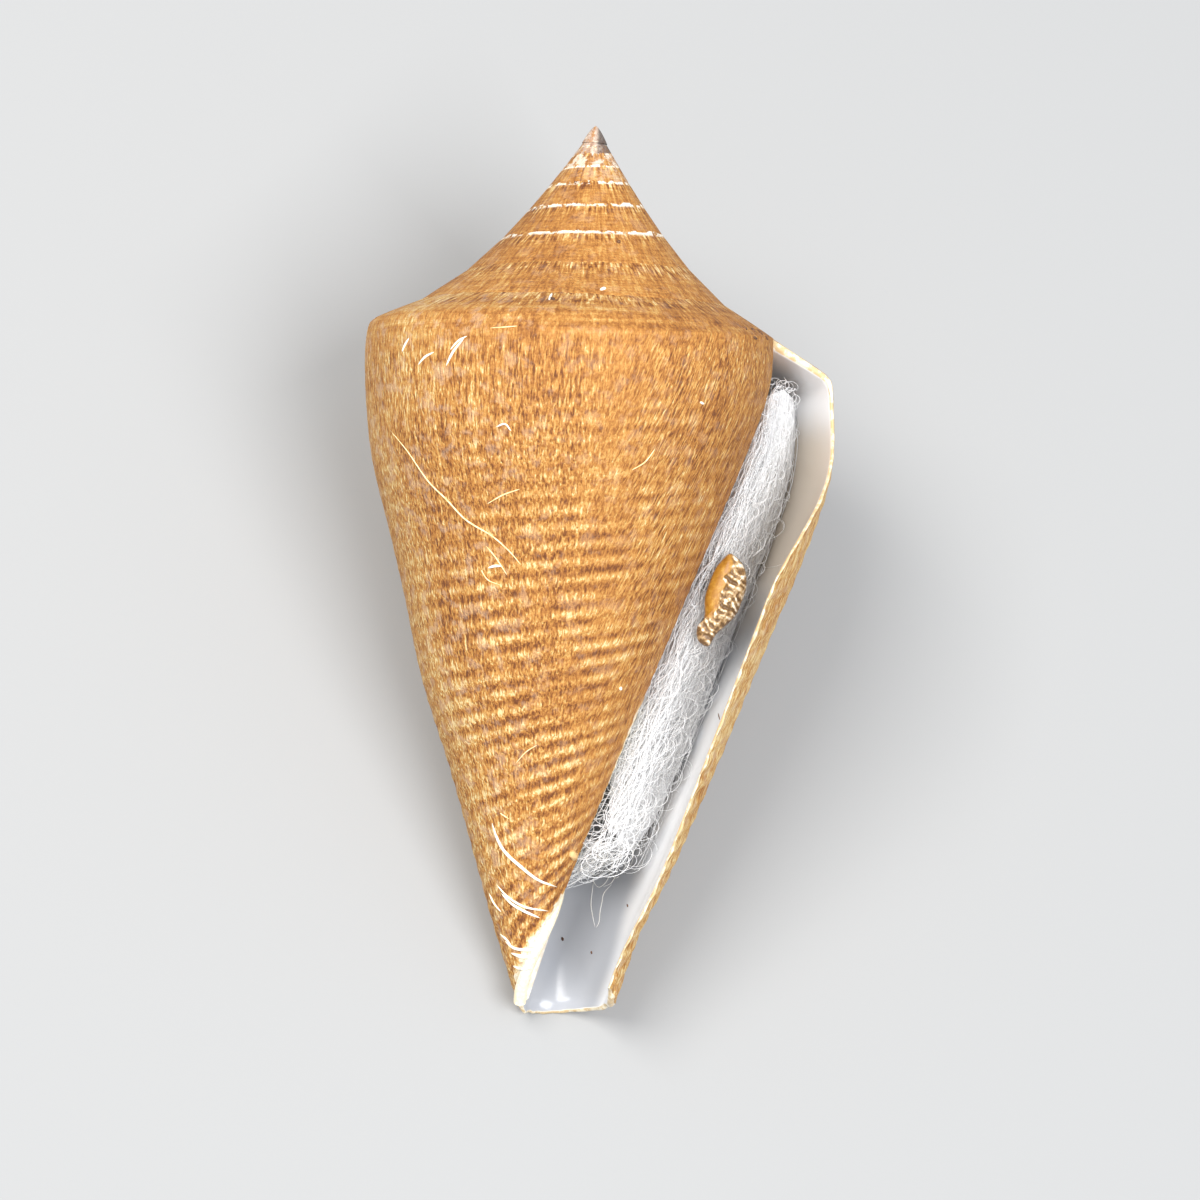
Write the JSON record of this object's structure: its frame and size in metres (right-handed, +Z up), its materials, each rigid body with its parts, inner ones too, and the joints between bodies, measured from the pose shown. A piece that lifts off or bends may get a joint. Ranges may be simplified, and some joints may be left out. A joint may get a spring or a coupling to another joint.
{
  "type": "cone shell",
  "caption": "Cone shell lying mouth up, with brown skin, a stepped pointed spire, cotton wool in the mouth and the horny lid on it.",
  "frame": {"origin": "on the surface that the shell lies on, under the middle of its box", "axes": "+Y along the shell towards the spire, +X to the side of the mouth's lip, +Z up, out of the mouth"},
  "size_m": [0.0358, 0.0634, 0.0327],
  "materials": {
    "shell": "matte brown skin, smooth cream inside",
    "cotton": "loose fibres",
    "horn": "horny, half gloss"
  },
  "bodies": {
    "root": {"shell": "shell", "cotton_plug": "cotton", "operculum": "horn"}
  },
  "joints": []
}
